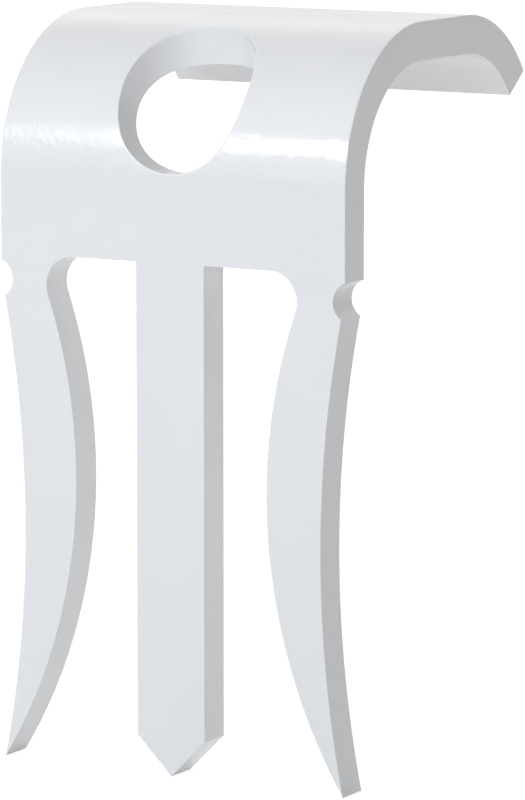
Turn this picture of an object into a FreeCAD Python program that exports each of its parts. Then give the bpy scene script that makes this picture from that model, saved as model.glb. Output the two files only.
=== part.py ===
import FreeCAD, Part
import math
import os

import Sketcher
from FreeCAD import Vector

# Cable clip: one strip of sheet steel, cut to a three-pronged fork, punched with one hole and bent over.
# Millimetres and degrees. +Z is up, the prongs point down, and the clip is the same left and right of x = 0.
# The origin is on the shoulder between the prongs, halfway through the sheet; -Y is the front.
SIZES = [
    ("clip_width", 10.0, "width of the strip"),
    ("sheet_thickness", 1.0, "thickness of the sheet"),
    ("plate_height", 2.0, "flat front plate, from the shoulder up to the bend line"),
    ("bend_radius", 3.0, "inside radius of both bends"),
    ("top_length", 2.5, "flat top between the two bends"),
    ("lip_angle", 54.0, "turn of the lip at the back"),
    ("prong_length", 13.13, "shoulder to the tips of all three prongs"),
    ("centre_prong_width", 1.97, "width of the straight centre prong"),
    ("centre_tip_angle", 90.0, "included angle of the centre prong's point"),
    ("inner_bow_radius", 13.8, "bow of an outer prong's inner edge"),
    ("outer_bow_radius", 30.0, "bow of an outer prong's outer edge"),
    ("tip_inset", 0.025, "an outer prong's tip, inside the strip's side"),
    ("root_inset", 0.1, "an outer prong's outer edge where it leaves the notch, inside the strip's side"),
    ("neck_width", 1.02, "metal left between the notch and the slot beside it, at an outer prong's root"),
    ("slot_corner_radius", 0.75, "corner between the shoulder and an outer prong"),
    ("notch_radius", 0.5, "round notch in each side, at the root of an outer prong"),
    ("notch_depth", 0.34, "how far the notch cuts into the side"),
    ("notch_drop", 0.67, "shoulder down to the middle of the notch"),
    ("hole_diameter", 3.6, "hole in the strip before it is bent"),
    ("hole_rise", 2.0, "bend line to the hole's centre, along the line that keeps its length"),
    ("neutral_share", 0.18, "share of the thickness, from inside, where that line runs"),
]

HALF_SHEET = "Sizes.sheet_thickness / 2"
PRONG_SIDE_X = "Sizes.centre_prong_width / 2"
POINT_RISE = "Sizes.centre_prong_width / 2 / tan(Sizes.centre_tip_angle / 2)"
TIP_X = "Sizes.clip_width / 2 - Sizes.tip_inset"
ROOT_X = "Sizes.clip_width / 2 - Sizes.root_inset"
NOTCH_FLOOR_X = "Sizes.clip_width / 2 - Sizes.notch_depth"
NOTCH_MIDDLE_X = f"{NOTCH_FLOOR_X} + Sizes.notch_radius"
CORNER_MIDDLE_X = f"{NOTCH_FLOOR_X} - Sizes.neck_width - Sizes.slot_corner_radius"
NEUTRAL_RADIUS = "(Sizes.bend_radius + Sizes.neutral_share * Sizes.sheet_thickness)"
BEND_AXIS_Y = "(Sizes.bend_radius + Sizes.sheet_thickness / 2)"
HOLE_TURN = f"(Sizes.hole_rise / {NEUTRAL_RADIUS} * 1 rad)"
HOLE_SLOPE = f"tan(Sizes.hole_diameter / 2 / {NEUTRAL_RADIUS} * 1 rad)"
# The hole's walls are cut between these two distances from the bend axis, inside and outside the sheet.
HOLE_CUT_START = "(Sizes.bend_radius / 2)"
HOLE_CUT_END = "(Sizes.bend_radius + 2 * Sizes.sheet_thickness)"

# Numbers that a sketch gives to the points of a curve, and to its own axes.
START, END, MIDDLE = range(1, 4)
X_AXIS, Y_AXIS = range(-1, -3, -1)
ORIGIN = (X_AXIS, START)


def make_sizes(document):
    """Writes the driving dimensions into a sheet, one row each."""
    sheet = document.addObject("Spreadsheet::Sheet", "Sizes")
    for row, (name, number, note) in enumerate(SIZES, start=1):
        sheet.set(f"A{row}", name)
        sheet.set(f"B{row}", str(number))
        sheet.setAlias(f"B{row}", name)
        sheet.set(f"C{row}", note)
    document.recompute()


def read(item, expression):
    """Value of an expression in the sizes."""
    return float(item.evalExpression(expression))


def origin_plane(body, role):
    """One of the body's own reference planes."""
    return next(plane for plane in body.Origin.OriginFeatures if plane.Role == role)


def new_sketch(body, name, role):
    """Empty sketch on one of the body's own reference planes."""
    sketch = body.newObject("Sketcher::SketchObject", name)
    sketch.AttachmentSupport = [(origin_plane(body, role), "")]
    sketch.MapMode = "FlatFace"
    return sketch


def closest_ends(sketch, first, second):
    """The ends of two curves that lie closest together."""
    pairs = [(near, far) for near in (START, END) for far in (START, END)]
    gaps = [(sketch.getPoint(first, near) - sketch.getPoint(second, far)).Length for near, far in pairs]
    return pairs[gaps.index(min(gaps))]


def draw_loop(sketch, curves, smooth):
    """Draws a closed outline and joins each curve to the next, tangent where its index is in smooth.

    Gives the end of each curve that meets the next one.
    """
    for curve in curves:
        sketch.addGeometry(curve, False)
    meetings = []
    for index in range(len(curves)):
        following = (index + 1) % len(curves)
        near, far = closest_ends(sketch, index, following)
        kind = "Tangent" if index in smooth else "Coincident"
        sketch.addConstraint(Sketcher.Constraint(kind, index, near, following, far))
        meetings.append((index, near))
    return meetings


def fix(sketch, kind, *where):
    """Adds a geometric constraint."""
    sketch.addConstraint(Sketcher.Constraint(kind, *where))


def dimension(sketch, expression, kind, *where):
    """Adds a dimension bound to the sizes."""
    value = read(sketch, expression)
    if kind == "Angle":
        value = math.radians(value)
    index = sketch.addConstraint(Sketcher.Constraint(kind, *where, value))
    sketch.setExpression(f"Constraints[{index}]", expression)


def arc_round(centre, radius, start_angle, end_angle):
    """Arc drawn anticlockwise about a centre, angles in degrees."""
    circle = Part.Circle(centre, Vector(0, 0, 1), radius)
    return Part.ArcOfCircle(circle, math.radians(start_angle), math.radians(end_angle))


def strip_profile(body):
    """Side view of the strip above the bend line: front bend, flat top and lip."""
    sketch = new_sketch(body, "strip_profile", "YZ_Plane")
    half_sheet = read(sketch, HALF_SHEET)
    inside = read(sketch, "Sizes.bend_radius")
    outside = inside + 2 * half_sheet
    top_length = read(sketch, "Sizes.top_length")
    bend_centre = Vector(read(sketch, BEND_AXIS_Y), read(sketch, "Sizes.plate_height"), 0)
    lip_centre = bend_centre + Vector(top_length, 0, 0)
    lip_end = 90 - read(sketch, "Sizes.lip_angle")
    up = Vector(0, 1, 0)
    lip_ray = Vector(math.cos(math.radians(lip_end)), math.sin(math.radians(lip_end)), 0)

    bend_line, inner_bend, underside, inner_lip, end_cut, outer_lip, top, outer_bend = range(8)
    meetings = draw_loop(sketch, [
        Part.LineSegment(bend_centre - Vector(outside, 0, 0), bend_centre - Vector(inside, 0, 0)),
        arc_round(bend_centre, inside, 90, 180),
        Part.LineSegment(bend_centre + up * inside, lip_centre + up * inside),
        arc_round(lip_centre, inside, lip_end, 90),
        Part.LineSegment(lip_centre + lip_ray * inside, lip_centre + lip_ray * outside),
        arc_round(lip_centre, outside, lip_end, 90),
        Part.LineSegment(lip_centre + up * outside, bend_centre + up * outside),
        arc_round(bend_centre, outside, 90, 180),
    ], smooth={inner_bend, underside, outer_lip, top})

    fix(sketch, "Horizontal", bend_line)
    fix(sketch, "Horizontal", underside)
    fix(sketch, "Horizontal", top)
    fix(sketch, "PointOnObject", inner_bend, MIDDLE, bend_line)
    fix(sketch, "Coincident", inner_bend, MIDDLE, outer_bend, MIDDLE)
    fix(sketch, "Coincident", inner_lip, MIDDLE, outer_lip, MIDDLE)
    fix(sketch, "Equal", inner_bend, inner_lip)
    fix(sketch, "PointOnObject", inner_lip, MIDDLE, end_cut)
    dimension(sketch, HALF_SHEET, "DistanceX", *ORIGIN, *meetings[bend_line])
    dimension(sketch, "Sizes.plate_height", "DistanceY", *ORIGIN, *meetings[bend_line])
    dimension(sketch, "Sizes.sheet_thickness", "Distance", bend_line)
    dimension(sketch, "Sizes.bend_radius", "Radius", inner_bend)
    dimension(sketch, "Sizes.top_length", "Distance", underside)
    dimension(sketch, "Sizes.lip_angle", "Angle", inner_lip)
    return sketch


def fork_outline(body):
    """Front view of the right half of the flat plate and its prongs, from the bend line down."""
    sketch = new_sketch(body, "fork_outline", "XZ_Plane")
    side = read(sketch, "Sizes.clip_width / 2")
    bend_line_z = read(sketch, "Sizes.plate_height")
    tip_z = -read(sketch, "Sizes.prong_length")
    tip = Vector(read(sketch, TIP_X), tip_z, 0)
    notch_radius = read(sketch, "Sizes.notch_radius")
    notch_floor = Vector(read(sketch, NOTCH_FLOOR_X), -read(sketch, "Sizes.notch_drop"), 0)
    notch_top = Vector(side, notch_floor.y + notch_radius, 0)
    notch_bottom = Vector(read(sketch, ROOT_X), notch_floor.y - notch_radius, 0)
    corner_radius = read(sketch, "Sizes.slot_corner_radius")
    corner_centre = Vector(read(sketch, CORNER_MIDDLE_X), -corner_radius, 0)
    corner_end = corner_centre + Vector(corner_radius, 0, 0)
    slot_end = corner_centre + Vector(0, corner_radius, 0)
    waist_z = (notch_bottom.y + tip_z) / 2
    outer_waist = Vector(notch_floor.x, waist_z, 0)
    inner_waist = Vector(corner_centre.x, waist_z, 0)
    prong_side = read(sketch, PRONG_SIDE_X)
    point_root = Vector(prong_side, tip_z + read(sketch, POINT_RISE), 0)

    (bend_line, side_edge, notch, outer_bow, inner_bow, corner,
     shoulder, prong_edge, point_edge, middle) = range(10)
    meetings = draw_loop(sketch, [
        Part.LineSegment(Vector(0, bend_line_z, 0), Vector(side, bend_line_z, 0)),
        Part.LineSegment(Vector(side, bend_line_z, 0), notch_top),
        Part.Arc(notch_top, notch_floor, notch_bottom),
        Part.Arc(notch_bottom, outer_waist, tip),
        Part.Arc(tip, inner_waist, corner_end),
        arc_round(corner_centre, corner_radius, 0, 90),
        Part.LineSegment(slot_end, Vector(prong_side, 0, 0)),
        Part.LineSegment(Vector(prong_side, 0, 0), point_root),
        Part.LineSegment(point_root, Vector(0, tip_z, 0)),
        Part.LineSegment(Vector(0, tip_z, 0), Vector(0, bend_line_z, 0)),
    ], smooth={inner_bow, corner})
    outer_tip = meetings[outer_bow]
    centre_tip = meetings[point_edge]

    fix(sketch, "Horizontal", bend_line)
    fix(sketch, "Vertical", side_edge)
    fix(sketch, "Horizontal", shoulder)
    fix(sketch, "PointOnObject", *meetings[shoulder], X_AXIS)
    fix(sketch, "Vertical", prong_edge)
    fix(sketch, "PointOnObject", *centre_tip, Y_AXIS)
    fix(sketch, "Vertical", middle)
    dimension(sketch, "Sizes.plate_height", "DistanceY", *ORIGIN, *meetings[bend_line])
    dimension(sketch, "Sizes.clip_width / 2", "DistanceX", *ORIGIN, *meetings[bend_line])
    dimension(sketch, "Sizes.notch_radius", "Radius", notch)
    dimension(sketch, "Sizes.notch_drop", "DistanceY", notch, MIDDLE, *ORIGIN)
    dimension(sketch, NOTCH_MIDDLE_X, "DistanceX", *ORIGIN, notch, MIDDLE)
    dimension(sketch, ROOT_X, "DistanceX", *ORIGIN, *meetings[notch])
    dimension(sketch, "Sizes.outer_bow_radius", "Radius", outer_bow)
    dimension(sketch, TIP_X, "DistanceX", *ORIGIN, *outer_tip)
    dimension(sketch, "Sizes.prong_length", "DistanceY", *outer_tip, *ORIGIN)
    dimension(sketch, "Sizes.inner_bow_radius", "Radius", inner_bow)
    dimension(sketch, "Sizes.slot_corner_radius", "Radius", corner)
    dimension(sketch, CORNER_MIDDLE_X, "DistanceX", *ORIGIN, corner, MIDDLE)
    dimension(sketch, PRONG_SIDE_X, "DistanceX", *ORIGIN, *meetings[shoulder])
    dimension(sketch, "Sizes.prong_length", "DistanceY", *centre_tip, *ORIGIN)
    dimension(sketch, POINT_RISE, "DistanceY", *centre_tip, *meetings[prong_edge])
    return sketch


def hole_section(body, name, reach, widest_across):
    """Section of the bent hole on a plane square to its own axis, at a reach from the bend axis.

    The hole is round in the flat strip. Bent, its walls all point at the bend axis, so that its width
    stays and its height grows with the reach.
    """
    sketch = new_sketch(body, name, "XZ_Plane")
    sketch.AttachmentOffset.Rotation = FreeCAD.Rotation(Vector(1, 0, 0), -read(sketch, HOLE_TURN))
    sketch.setExpression("AttachmentOffset.Rotation.Angle", f"-{HOLE_TURN}")
    sketch.setExpression("AttachmentOffset.Base.y", f"Sizes.plate_height + {reach} * sin({HOLE_TURN})")
    sketch.setExpression("AttachmentOffset.Base.z", f"{reach} * cos({HOLE_TURN}) - {BEND_AXIS_Y}")

    width = "Sizes.hole_diameter"
    height = f"2 * {reach} * {HOLE_SLOPE}"
    across = Vector(read(sketch, width) / 2, 0, 0)
    upward = Vector(0, read(sketch, height) / 2, 0)
    ends = (across, upward) if widest_across else (upward, -across)
    rim = sketch.addGeometry(Part.Ellipse(*ends, Vector()), False)
    sketch.exposeInternalGeometry(rim)
    long_axis, short_axis = rim + 1, rim + 2

    fix(sketch, "Coincident", rim, MIDDLE, *ORIGIN)
    fix(sketch, "Horizontal" if widest_across else "Vertical", long_axis)
    dimension(sketch, width if widest_across else height, "Distance", long_axis)
    dimension(sketch, height if widest_across else width, "Distance", short_axis)
    return sketch


def extrude(body, name, sketch, length):
    """Pads a sketch equally to both sides of its plane."""
    pad = body.newObject("PartDesign::Pad", name)
    pad.Profile = sketch
    pad.Midplane = True
    pad.setExpression("Length", length)
    return pad


def make_clip(document):
    """The whole clip, one solid."""
    body = document.addObject("PartDesign::Body", "clip_body")
    body.Label = "clip_body"
    extrude(body, "bent_strip", strip_profile(body), "Sizes.clip_width")
    document.recompute()
    half_fork = extrude(body, "half_fork", fork_outline(body), "Sizes.sheet_thickness")
    document.recompute()

    fork = body.newObject("PartDesign::Mirrored", "fork")
    fork.Originals = [half_fork]
    fork.MirrorPlane = (origin_plane(body, "YZ_Plane"), [""])
    body.Tip = fork
    document.recompute()

    hole = body.newObject("PartDesign::SubtractiveLoft", "hole")
    hole.Profile = hole_section(body, "hole_inside", HOLE_CUT_START, widest_across=True)
    hole.Sections = [hole_section(body, "hole_outside", HOLE_CUT_END, widest_across=False)]
    hole.Ruled = True
    body.Tip = hole
    document.recompute()
    return body


def check(document, bodies):
    """Stops if any feature failed, a sketch is loose, the hole is not cut or a solid is not sound."""
    for item in document.Objects:
        if "Invalid" in item.State or "Error" in item.State:
            raise RuntimeError(f"{item.Label} failed: {item.State}")
        if item.isDerivedFrom("Sketcher::SketchObject") and not item.FullyConstrained:
            raise RuntimeError(f"{item.Label} is not fully constrained")
    if document.hole.Shape.Volume >= document.fork.Shape.Volume:
        raise RuntimeError("the hole cuts nothing")
    for body in bodies:
        if body.Shape.isNull() or not body.Shape.isValid() or len(body.Shape.Solids) != 1:
            raise RuntimeError(f"{body.Label} is not one sound solid")


document = FreeCAD.newDocument("cable_clip")
make_sizes(document)
bodies = [make_clip(document)]
check(document, bodies)

os.makedirs("parts", exist_ok=True)
for body in bodies:
    body.Shape.exportStep(f"parts/{body.Label}.step")
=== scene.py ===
import math

import bmesh
import bpy
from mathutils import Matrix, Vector


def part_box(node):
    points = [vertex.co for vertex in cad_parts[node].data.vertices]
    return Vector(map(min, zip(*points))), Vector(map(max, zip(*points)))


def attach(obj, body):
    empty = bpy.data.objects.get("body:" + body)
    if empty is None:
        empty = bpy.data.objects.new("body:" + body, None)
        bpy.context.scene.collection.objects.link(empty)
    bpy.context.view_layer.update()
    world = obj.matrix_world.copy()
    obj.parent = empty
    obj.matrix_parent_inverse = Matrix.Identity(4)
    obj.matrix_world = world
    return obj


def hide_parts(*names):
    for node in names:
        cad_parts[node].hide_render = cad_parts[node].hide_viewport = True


# Looks of a cable clip: one strip of sheet steel, cut flat to a three-pronged fork, punched with one hole,
# bent over twice and coated white.
# Metres, in the clip's own frame: +Z up, -Y the front, origin on the shoulder between the prongs.
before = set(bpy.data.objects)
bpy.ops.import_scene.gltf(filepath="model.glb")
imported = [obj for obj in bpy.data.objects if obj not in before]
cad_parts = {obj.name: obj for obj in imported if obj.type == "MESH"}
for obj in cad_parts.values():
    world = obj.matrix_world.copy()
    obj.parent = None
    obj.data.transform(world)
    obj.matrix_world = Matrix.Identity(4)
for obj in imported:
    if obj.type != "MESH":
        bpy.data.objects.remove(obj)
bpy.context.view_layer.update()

MM = 0.001
QUARTER_TURN = math.radians(90.0)
UP = (0, 0, 1)
LEFT = (-1, 0, 0)
WHITE = (1, 1, 1, 1)
CLIP_LOW, CLIP_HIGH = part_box("clip_body")

# The strip and its two bends. On the neutral radius the sheet keeps its length when it is bent.
HALF_WIDTH = CLIP_HIGH.x
SHEET = -2 * CLIP_LOW.y
PLATE_HEIGHT = 2.0 * MM
BEND_RADIUS = CLIP_HIGH.z - PLATE_HEIGHT - SHEET
TOP_LENGTH = 2.5 * MM
LIP_ANGLE = math.radians(54.0)
NEUTRAL_SHARE = 0.18
NEUTRAL_RADIUS = BEND_RADIUS + NEUTRAL_SHARE * SHEET
BEND_LENGTH = NEUTRAL_RADIUS * QUARTER_TURN
LIP_LENGTH = NEUTRAL_RADIUS * LIP_ANGLE
TOP_START = PLATE_HEIGHT + BEND_LENGTH
LIP_START = TOP_START + TOP_LENGTH
STRIP_END = LIP_START + LIP_LENGTH

# The fork.
PRONG_LENGTH = -CLIP_LOW.z
CENTRE_PRONG_HALF = 0.985 * MM
CENTRE_POINT_HALF_ANGLE = math.radians(45.0)
INNER_BOW_RADIUS = 13.8 * MM
OUTER_BOW_RADIUS = 30.0 * MM
TIP_INSET = 0.025 * MM
ROOT_INSET = 0.1 * MM
NECK_WIDTH = 1.02 * MM
SLOT_CORNER_RADIUS = 0.75 * MM
NOTCH_RADIUS = 0.5 * MM
NOTCH_DEPTH = 0.34 * MM
NOTCH_DROP = 0.67 * MM

# The hole, in the strip before it is bent.
HOLE_RADIUS = 1.8 * MM
HOLE_PAST_BEND_LINE = 2.0 * MM
HOLE_MIDDLE = PLATE_HEIGHT + HOLE_PAST_BEND_LINE

# The coated edge: its rounding, and the narrow band beside it that keeps the faces flat.
EDGE_ROUNDING = 0.015 * MM
EDGE_STEPS = 2
EDGE_BAND = 0.03 * MM

# Marks on the blank that tell the coat where the edges and the cut faces are.
EDGE_MARK = "edge"
CUT_MARK = "cut_face"

# How finely the shape is divided.
BOW_SPACING = 0.5 * MM
CORNER_SPACING = 0.08 * MM
HOLE_SPACING = 0.1 * MM
BEND_STEP = math.radians(2.0)
FLAT_STEP = 1.0 * MM
WELD_DISTANCE = 1e-8
SHARP_ANGLE = math.radians(35.0)


def meeting_point(first, first_radius, second, second_radius):
    """Where two circles meet, on the side of the greater x."""
    apart = second - first
    along = (apart.length_squared + first_radius ** 2 - second_radius ** 2) / (2 * apart.length)
    across = math.sqrt(first_radius ** 2 - along ** 2)
    direction = apart.normalized()
    sideways = Vector((direction.y, -direction.x))
    if sideways.x < 0:
        sideways.negate()
    return first + direction * along + sideways * across


def arc_to(start, end, centre, spacing):
    """Points of an arc the short way round a centre, without its start."""
    first = math.atan2(start.y - centre.y, start.x - centre.x)
    turn = math.atan2(end.y - centre.y, end.x - centre.x) - first
    turn = (turn + math.pi) % (2 * math.pi) - math.pi
    radius = (start - centre).length
    pieces = math.ceil(abs(turn) * radius / spacing)
    angles = [first + turn * step / pieces for step in range(1, pieces + 1)]
    return [centre + radius * Vector((math.cos(angle), math.sin(angle))) for angle in angles]


def fork_and_strip_edge():
    """Right half of the flat blank's edge, from the centre prong's point to the middle of the strip's end.

    x runs across the strip and y along it, and the metal is on the left of the way round.
    """
    point = Vector((0, -PRONG_LENGTH))
    point_height = CENTRE_PRONG_HALF / math.tan(CENTRE_POINT_HALF_ANGLE)
    point_root = Vector((CENTRE_PRONG_HALF, -PRONG_LENGTH + point_height))
    shoulder = Vector((CENTRE_PRONG_HALF, 0))
    tip = Vector((HALF_WIDTH - TIP_INSET, -PRONG_LENGTH))

    notch_floor = HALF_WIDTH - NOTCH_DEPTH
    notch_centre = Vector((notch_floor + NOTCH_RADIUS, -NOTCH_DROP))
    notch_rise = math.sqrt(NOTCH_RADIUS ** 2 - (notch_centre.x - HALF_WIDTH) ** 2)
    notch_top = Vector((HALF_WIDTH, notch_centre.y + notch_rise))
    root_x = HALF_WIDTH - ROOT_INSET
    root_drop = math.sqrt(NOTCH_RADIUS ** 2 - (notch_centre.x - root_x) ** 2)
    root = Vector((root_x, notch_centre.y - root_drop))
    outer_bow_centre = meeting_point(root, OUTER_BOW_RADIUS, tip, OUTER_BOW_RADIUS)

    corner_centre = Vector((notch_floor - NECK_WIDTH - SLOT_CORNER_RADIUS, -SLOT_CORNER_RADIUS))
    corner_start = Vector((corner_centre.x, 0))
    inner_bow_centre = meeting_point(
        tip, INNER_BOW_RADIUS, corner_centre, INNER_BOW_RADIUS + SLOT_CORNER_RADIUS)
    corner_end = corner_centre + (inner_bow_centre - corner_centre).normalized() * SLOT_CORNER_RADIUS
    return [
        point, point_root, shoulder, corner_start,
        *arc_to(corner_start, corner_end, corner_centre, CORNER_SPACING),
        *arc_to(corner_end, tip, inner_bow_centre, BOW_SPACING),
        *arc_to(tip, root, outer_bow_centre, BOW_SPACING),
        *arc_to(root, notch_top, notch_centre, CORNER_SPACING),
        Vector((HALF_WIDTH, STRIP_END)), Vector((0, STRIP_END)),
    ]


def hole_edge():
    """Right half of the hole's edge in the flat blank, from its top to its bottom.

    It is all but round. Bent, it has the straight-sided walls that point at the bend's axis.
    """
    slope = math.tan(HOLE_RADIUS / NEUTRAL_RADIUS)
    pieces = math.ceil(math.pi * HOLE_RADIUS / HOLE_SPACING)
    edge = []
    for step in range(pieces + 1):
        turn = math.pi * (0.5 - step / pieces)
        rise = NEUTRAL_RADIUS * math.atan(slope * math.sin(turn))
        edge.append(Vector((HOLE_RADIUS * math.cos(turn), HOLE_MIDDLE + rise)))
    edge[0].x = edge[-1].x = 0
    return edge


def mitres(edge):
    """For each point of an edge, the step into the metal that moves both its sides in by one."""
    mirrored = [Vector((-point.x, point.y)) for point in (edge[1], edge[-2])]
    padded = [mirrored[0], *edge, mirrored[1]]
    inward = []
    for before, here, after in zip(padded, padded[1:], padded[2:]):
        normals = []
        for way in (here - before, after - here):
            normals.append(Vector((-way.y, way.x)).normalized())
        inward.append((normals[0] + normals[1]) / (1 + normals[0].dot(normals[1])))
    return inward


def edge_levels():
    """Section through a coated edge, front to back.

    Each level has its inset from the cut, its depth below the front, and how much it is edge and cut face.
    """
    front = [(EDGE_ROUNDING + EDGE_BAND, 0, 0, 0)]
    for step in range(EDGE_STEPS + 1):
        share = step / EDGE_STEPS
        inset = EDGE_ROUNDING * (1 - math.sin(QUARTER_TURN * share))
        depth = EDGE_ROUNDING * (1 - math.cos(QUARTER_TURN * share))
        front.append((inset, depth, 1, share))
    front.append((0, EDGE_ROUNDING + EDGE_BAND, 0, 1))
    return front + [(inset, SHEET - depth, edge, cut) for inset, depth, edge, cut in reversed(front)]


def half_blank():
    """Right half of the flat blank as a solid, open where it meets the left half."""
    half = bmesh.new()
    edge_mark = half.verts.layers.float.new(EDGE_MARK)
    cut_mark = half.verts.layers.float.new(CUT_MARK)
    levels = edge_levels()
    front_face, back_face = [], []
    for edge in (fork_and_strip_edge(), hole_edge()):
        ways = mitres(edge)
        rows = []
        for inset, depth, edge_share, cut_share in levels:
            points = [point + way * inset for point, way in zip(edge, ways)]
            row = [half.verts.new((point.x, depth - SHEET / 2, point.y)) for point in points]
            for vert in row:
                vert[edge_mark] = edge_share
                vert[cut_mark] = cut_share
            rows.append(row)
        for upper, lower in zip(rows, rows[1:]):
            for index in range(len(edge) - 1):
                half.faces.new((upper[index], lower[index], lower[index + 1], upper[index + 1]))
        front_face += rows[0]
        back_face += rows[-1]
    half.faces.new(front_face)
    half.faces.new(back_face[::-1])
    return half


def cut_lines():
    """Heights at which the flat blank is divided: closely where it bends, loosely where it stays flat."""
    lines = []
    for start, end, step in (
        (-PRONG_LENGTH, PLATE_HEIGHT, FLAT_STEP),
        (PLATE_HEIGHT, TOP_START, NEUTRAL_RADIUS * BEND_STEP),
        (TOP_START, LIP_START, FLAT_STEP),
        (LIP_START, STRIP_END, NEUTRAL_RADIUS * BEND_STEP),
    ):
        pieces = round((end - start) / step)
        lines += [start + (end - start) * piece / pieces for piece in range(1, pieces + 1)]
    return lines[:-1]


def whole(blank):
    """All points, edges and faces of a blank."""
    return blank.verts[:] + blank.edges[:] + blank.faces[:]


def flat_blank():
    """The whole blank, flat, as one closed mesh divided across its length."""
    blank = half_blank()
    for height in cut_lines():
        bmesh.ops.bisect_plane(
            blank, geom=whole(blank), dist=WELD_DISTANCE, plane_co=(0, 0, height), plane_no=UP)
    bmesh.ops.mirror(blank, geom=whole(blank), axis="X", merge_dist=WELD_DISTANCE)
    bmesh.ops.remove_doubles(blank, verts=blank.verts, dist=WELD_DISTANCE)
    bmesh.ops.recalc_face_normals(blank, faces=blank.faces)
    mesh = bpy.data.meshes.new("clip_blank")
    blank.to_mesh(mesh)
    blank.free()
    mesh.shade_smooth()
    mesh.set_sharp_from_angle(angle=SHARP_ANGLE)
    return mesh


class Wiring:
    """Node tree that is put together step by step."""

    def __init__(self, tree):
        self.tree = tree

    def feed(self, socket, term):
        """Gives a socket a node's result, or a plain number or colour."""
        if isinstance(term, bpy.types.NodeSocket):
            self.tree.links.new(term, socket)
        else:
            socket.default_value = term

    def math(self, operation, *terms):
        """Adds one arithmetic node and gives its result."""
        node = self.tree.nodes.new("ShaderNodeMath")
        node.operation = operation
        for socket, term in zip(node.inputs, terms):
            self.feed(socket, term)
        return node.outputs[0]


BEND_SIZES = (
    "Sheet thickness", "Inside radius", "Plate height",
    "Top length", "Lip angle", "Neutral share",
)


class BendTree(Wiring):
    """Node tree that bends a flat strip over its front bend, flat top and lip."""

    def __init__(self):
        super().__init__(bpy.data.node_groups.new("bend_strip", "GeometryNodeTree"))
        sockets = self.tree.interface
        sockets.new_socket("Blank", in_out="INPUT", socket_type="NodeSocketGeometry")
        sockets.new_socket("Clip", in_out="OUTPUT", socket_type="NodeSocketGeometry")
        for name in BEND_SIZES:
            sockets.new_socket(name, in_out="INPUT", socket_type="NodeSocketFloat")
        sockets.new_socket("Coat", in_out="INPUT", socket_type="NodeSocketMaterial")
        self.given = self.tree.nodes.new("NodeGroupInput").outputs
        self.build()

    def within(self, value, limit):
        """Value held between nothing and a limit."""
        return self.math("MAXIMUM", self.math("MINIMUM", value, limit), 0)

    def build(self):
        """Wires the rule: a point keeps its depth and its place across, and turns about the bends."""
        sheet, inside, plate, top, lip_angle, neutral_share = (self.given[name] for name in BEND_SIZES)
        neutral = self.math("MULTIPLY_ADD", neutral_share, sheet, inside)
        bend_length = self.math("MULTIPLY", neutral, QUARTER_TURN)
        middle = self.math("MULTIPLY_ADD", sheet, 0.5, inside)

        place = self.tree.nodes.new("ShaderNodeSeparateXYZ")
        self.feed(place.inputs[0], self.tree.nodes.new("GeometryNodeInputPosition").outputs[0])
        across, depth, height = place.outputs
        radius = self.math("SUBTRACT", middle, depth)
        past_plate = self.math("SUBTRACT", height, plate)
        past_bend = self.math("SUBTRACT", past_plate, bend_length)
        past_top = self.math("SUBTRACT", past_bend, top)
        bend_turn = self.within(self.math("DIVIDE", past_plate, neutral), QUARTER_TURN)
        top_run = self.within(past_bend, top)
        lip_turn = self.within(self.math("DIVIDE", past_top, neutral), lip_angle)

        back = self.math("MULTIPLY", radius, self.math("COSINE", bend_turn))
        bent_y = self.math("SUBTRACT", self.math("ADD", middle, top_run), back)
        bent_y = self.math("MULTIPLY_ADD", radius, self.math("SINE", lip_turn), bent_y)
        bent_z = self.math("MINIMUM", height, plate)
        bent_z = self.math("MULTIPLY_ADD", radius, self.math("SINE", bend_turn), bent_z)
        drop = self.math("SUBTRACT", 1, self.math("COSINE", lip_turn))
        bent_z = self.math("SUBTRACT", bent_z, self.math("MULTIPLY", radius, drop))

        bent = self.tree.nodes.new("ShaderNodeCombineXYZ")
        for socket, value in zip(bent.inputs, (across, bent_y, bent_z)):
            self.feed(socket, value)
        moved = self.tree.nodes.new("GeometryNodeSetPosition")
        real = self.tree.nodes.new("GeometryNodeRealizeInstances")
        coated = self.tree.nodes.new("GeometryNodeSetMaterial")
        out = self.tree.nodes.new("NodeGroupOutput")
        self.feed(moved.inputs["Geometry"], self.given["Blank"])
        self.feed(moved.inputs["Position"], bent.outputs[0])
        self.feed(real.inputs[0], moved.outputs[0])
        self.feed(coated.inputs["Geometry"], real.outputs[0])
        self.feed(coated.inputs["Material"], self.given["Coat"])
        self.feed(out.inputs[0], coated.outputs[0])

    def apply(self, piece, **sizes):
        """Bends a piece's flat mesh, and leaves it as a plain mesh."""
        modifier = piece.modifiers.new("bend", "NODES")
        modifier.node_group = self.tree
        for item in self.tree.interface.items_tree:
            key = item.name.lower().replace(" ", "_")
            if key in sizes:
                modifier[item.identifier] = sizes[key]
        evaluated = piece.evaluated_get(bpy.context.evaluated_depsgraph_get())
        flat = piece.data
        piece.data = bpy.data.meshes.new_from_object(evaluated)
        piece.modifiers.remove(modifier)
        bpy.data.meshes.remove(flat)


# The powder coat: satin white, a little deeper in faint clouds, and with a painted highlight that makes it
# paler along the edges.
COAT_WHITE = (0.86, 0.87, 0.89, 1)
COAT_DEEP = (0.845, 0.858, 0.88, 1)
# Painted highlight: the paler white that the edges are given in place of the light they catch.
EDGE_HIGHLIGHT_WHITE = (0.89, 0.9, 0.915, 1)
CLOUD_SIZE = 2.5 * MM
CLOUD_DETAIL = 3
CLOUD_SPAN = (0.35, 0.65)

# Its orange peel, and the finer grain on it.
PEEL_SIZE = 0.2 * MM
PEEL_DETAIL = 1
PEEL_DEPTH = 0.007 * MM
GRAIN_SIZE = 0.07 * MM
GRAIN_DETAIL = 2
GRAIN_SHARE = 0.1

# Its gloss, uneven with the clouds and the grain, and a little duller on the cut faces.
COAT_ROUGHNESS = (0.08, 0.24)
UNEVEN_SPAN = (0.2, 0.8)
CUT_ROUGHNESS = 0.025

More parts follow.
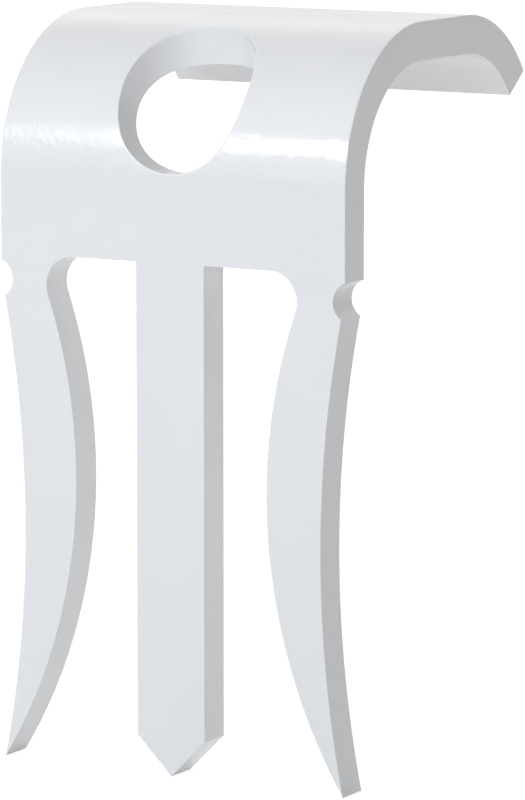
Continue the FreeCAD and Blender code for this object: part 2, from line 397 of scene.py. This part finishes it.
# Sockets of a node that mixes colours: the two colours, and the result.
MIX_FIRST, MIX_SECOND, MIX_RESULT = 6, 7, 2


class CoatTree(Wiring):
    """Node tree of the white coat, laid out in the clip's own frame."""

    def __init__(self, tree):
        super().__init__(tree)
        self.place = tree.nodes.new("ShaderNodeTexCoord").outputs["Object"]

    def noise(self, size, detail):
        """Uneven spots of about the given size."""
        node = self.tree.nodes.new("ShaderNodeTexNoise")
        self.feed(node.inputs["Vector"], self.place)
        self.feed(node.inputs["Scale"], 1 / size)
        self.feed(node.inputs["Detail"], detail)
        return node.outputs[0]

    def mark(self, name):
        """A mark that the blank carries."""
        node = self.tree.nodes.new("ShaderNodeAttribute")
        node.attribute_name = name
        return node.outputs["Fac"]

    def span(self, value, given, wanted):
        """Value carried from one span to another, and held within it."""
        node = self.tree.nodes.new("ShaderNodeMapRange")
        self.feed(node.inputs["Value"], value)
        for name, limit in zip(("From Min", "From Max", "To Min", "To Max"), given + wanted):
            self.feed(node.inputs[name], limit)
        return node.outputs[0]

    def blend(self, share, first, second):
        """Colour between two others."""
        node = self.tree.nodes.new("ShaderNodeMix")
        node.data_type = "RGBA"
        self.feed(node.inputs["Factor"], share)
        self.feed(node.inputs[MIX_FIRST], first)
        self.feed(node.inputs[MIX_SECOND], second)
        return node.outputs[MIX_RESULT]


def white_coat():
    """Satin white powder coat: faintly clouded, dimpled, and paler along the edges, where a highlight is
    painted into its colour.
    """
    material = bpy.data.materials.new("white_coat")
    material.use_nodes = True
    shader = material.node_tree.nodes["Principled BSDF"]
    coat = CoatTree(material.node_tree)
    clouds = coat.span(coat.noise(CLOUD_SIZE, CLOUD_DETAIL), CLOUD_SPAN, (0, 1))
    peel = coat.noise(PEEL_SIZE, PEEL_DETAIL)
    grain = coat.noise(GRAIN_SIZE, GRAIN_DETAIL)

    colour = coat.blend(clouds, COAT_WHITE, COAT_DEEP)
    # Painted highlight: the marked edges are made paler in the colour itself, standing in for the light
    # they catch.
    colour = coat.blend(coat.mark(EDGE_MARK), colour, EDGE_HIGHLIGHT_WHITE)
    coat.feed(shader.inputs["Base Color"], colour)

    uneven = coat.math("MULTIPLY", coat.math("ADD", grain, clouds), 0.5)
    roughness = coat.span(uneven, UNEVEN_SPAN, COAT_ROUGHNESS)
    roughness = coat.math("MULTIPLY_ADD", coat.mark(CUT_MARK), CUT_ROUGHNESS, roughness)
    coat.feed(shader.inputs["Roughness"], roughness)

    dimples = coat.tree.nodes.new("ShaderNodeBump")
    dimples.inputs["Distance"].default_value = PEEL_DEPTH
    dimples.inputs["Strength"].default_value = 1
    coat.feed(dimples.inputs["Height"], coat.math("MULTIPLY_ADD", grain, GRAIN_SHARE, peel))
    coat.feed(shader.inputs["Normal"], dimples.outputs["Normal"])
    return material


def make_clip():
    """The clip, bent from its flat blank."""
    clip = bpy.data.objects.new("coated_clip", flat_blank())
    bpy.context.scene.collection.objects.link(clip)
    BendTree().apply(
        clip, sheet_thickness=SHEET, inside_radius=BEND_RADIUS, plate_height=PLATE_HEIGHT,
        top_length=TOP_LENGTH, lip_angle=LIP_ANGLE, neutral_share=NEUTRAL_SHARE, coat=white_coat())
    clip.data.name = "coated_clip"
    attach(clip, "root")
    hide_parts("clip_body")


# The view: where the camera stands, how it is turned, and its lens.
CAMERA_PLACE = (63.299 * MM, -107.405 * MM, 15.194 * MM)
CAMERA_DOWN = math.radians(8.535)
CAMERA_LEFT = math.radians(29.556)
CAMERA_LENS = 224.76
CAMERA_NEAR = 0.01


def make_camera():
    """A long lens, from the front right and a little above."""
    lens = bpy.data.cameras.new("camera")
    lens.lens = CAMERA_LENS
    lens.clip_start = CAMERA_NEAR
    camera = bpy.data.objects.new("camera", lens)
    camera.location = CAMERA_PLACE
    camera.rotation_euler = (QUARTER_TURN - CAMERA_DOWN, 0, CAMERA_LEFT)
    bpy.context.scene.collection.objects.link(camera)
    bpy.context.scene.camera = camera


# The room, which only the camera and the clip's gloss see. In the gloss it is brighter above, and has three
# sheens, held to a tall strip on the left so that they leave the other sides alone.
ROOM_GLOSS = 0.87
GLOSS_UP = 0.7
SHEEN_SIDE = 0.5
SHEEN_HALF_WIDTH = 0.22
SHEENS = (
    # Way, narrowness, brightness: front left, above left, back left.
    ((-0.506, -0.706, 0.495), 6, 2.3),
    ((-0.501, -0.121, 0.857), 12, 0.72),
    ((-0.502, 0.682, 0.532), 30, 0.52),
)

# The soft boxes: a long one at the front that streaks the bend, and wide ones that only fill.
STREAK_BOX = "streak_box"
SOFT_BOXES = (
    # Name, degrees to the left of the front, degrees up, distance, width, height, brightness, colour.
    (STREAK_BOX, 16.6, 23.3, 160 * MM, 95 * MM, 27 * MM, 10.8, (0.935, 0.965, 1.0)),
    ("front_box", 337, 15, 310 * MM, 290 * MM, 180 * MM, 2.25, (0.965, 0.98, 1.0)),
    ("left_box", 123, 28, 300 * MM, 250 * MM, 250 * MM, 3.1, (1.0, 0.985, 0.96)),
    ("back_box", 197, 15, 310 * MM, 290 * MM, 180 * MM, 1.5, (1.0, 0.98, 0.95)),
    ("high_box", 215, 75, 300 * MM, 250 * MM, 250 * MM, 1.05, (1.0, 0.985, 0.96)),
)

# The floor: its white where it lights the clip and where the camera sees it, and what it adds of its own,
# to the camera and in the clip's gloss.
FLOOR_HALF = 1.0
FLOOR_WHITE = 0.9
FLOOR_SEEN = 0.45
FLOOR_GLOW = 0.78
FLOOR_GLOSS = 0.42


class LightTree(Wiring):
    """Node tree of the room or the floor, which answers each kind of ray in its own way."""

    def __init__(self, tree):
        super().__init__(tree)
        rays = tree.nodes.new("ShaderNodeLightPath").outputs
        self.straight = rays["Is Camera Ray"]
        self.reflected = self.math("MAXIMUM", rays["Is Glossy Ray"], rays["Is Transmission Ray"])

    def towards(self, way):
        """How far a direction points a given way: 0 square to it or away, 1 straight at it."""
        facing = self.tree.nodes.new("ShaderNodeVectorMath")
        facing.operation = "DOT_PRODUCT"
        self.feed(facing.inputs[0], self.tree.nodes.new("ShaderNodeTexCoord").outputs["Generated"])
        self.feed(facing.inputs[1], way)
        return self.math("MAXIMUM", facing.outputs["Value"], 0)

    def strip(self, way, middle, half_width):
        """1 where a direction points a given way by the middle share, falling to 0 on both sides of it."""
        aside = self.math("SUBTRACT", self.towards(way), middle)
        aside = self.math("DIVIDE", aside, half_width)
        fading = self.math("SUBTRACT", 1, self.math("MULTIPLY", aside, aside))
        return self.math("MAXIMUM", fading, 0)


def make_room():
    """A room that is plain white behind the clip, and gives its light to the clip's gloss alone."""
    world = bpy.data.worlds.new("white_room")
    bpy.context.scene.world = world
    world.use_nodes = True
    background = world.node_tree.nodes["Background"]
    background.inputs["Color"].default_value = WHITE
    room = LightTree(world.node_tree)
    gloss = room.math("MULTIPLY_ADD", room.towards(UP), GLOSS_UP, ROOM_GLOSS)
    strip = room.strip(LEFT, SHEEN_SIDE, SHEEN_HALF_WIDTH)
    for way, narrowness, brightness in SHEENS:
        sheen = room.math("POWER", room.towards(way), narrowness)
        sheen = room.math("MULTIPLY", sheen, strip)
        gloss = room.math("MULTIPLY_ADD", sheen, brightness, gloss)
    strength = room.math("MULTIPLY_ADD", room.reflected, gloss, room.straight)
    room.feed(background.inputs["Strength"], strength)


def make_soft_boxes():
    """The soft boxes, all facing the clip. Its gloss shows only the one that streaks the bend."""
    for name, left, rise, distance, width, height, brightness, colour in SOFT_BOXES:
        lamp = bpy.data.lights.new(name, "AREA")
        lamp.shape = "RECTANGLE"
        lamp.size, lamp.size_y = width, height
        lamp.energy = brightness * math.pi * width * height
        lamp.color = colour
        box = bpy.data.objects.new(name, lamp)
        left, rise = math.radians(left), math.radians(rise)
        level = math.cos(rise)
        away = Vector((-math.sin(left) * level, -math.cos(left) * level, math.sin(rise)))
        box.location = away * distance
        box.rotation_euler = away.to_track_quat("Z", "Y").to_euler()
        box.visible_glossy = name == STREAK_BOX
        bpy.context.scene.collection.objects.link(box)


def make_floor():
    """White floor under the prongs' tips, which looks as plain as the room and keeps the clip's shadow."""
    mesh = bpy.data.meshes.new("floor")
    corners = [(across * FLOOR_HALF, along * FLOOR_HALF, CLIP_LOW.z)
               for across, along in ((-1, -1), (1, -1), (1, 1), (-1, 1))]
    mesh.from_pydata(corners, [], [(0, 1, 2, 3)])
    floor = bpy.data.objects.new("floor", mesh)
    bpy.context.scene.collection.objects.link(floor)
    material = bpy.data.materials.new("floor_white")
    material.use_nodes = True
    shader = material.node_tree.nodes["Principled BSDF"]
    shader.inputs["Roughness"].default_value = 1
    shader.inputs["Specular IOR Level"].default_value = 0
    shader.inputs["Emission Color"].default_value = WHITE
    light = LightTree(material.node_tree)
    shade = light.math("MULTIPLY_ADD", light.straight, FLOOR_SEEN - FLOOR_WHITE, FLOOR_WHITE)
    light.feed(shader.inputs["Base Color"], shade)
    glow = light.math("MULTIPLY", light.reflected, FLOOR_GLOSS)
    glow = light.math("MULTIPLY_ADD", light.straight, FLOOR_GLOW, glow)
    light.feed(shader.inputs["Emission Strength"], glow)
    mesh.materials.append(material)


make_clip()
make_camera()
make_room()
make_soft_boxes()
make_floor()
bpy.context.scene.view_settings.view_transform = "Standard"
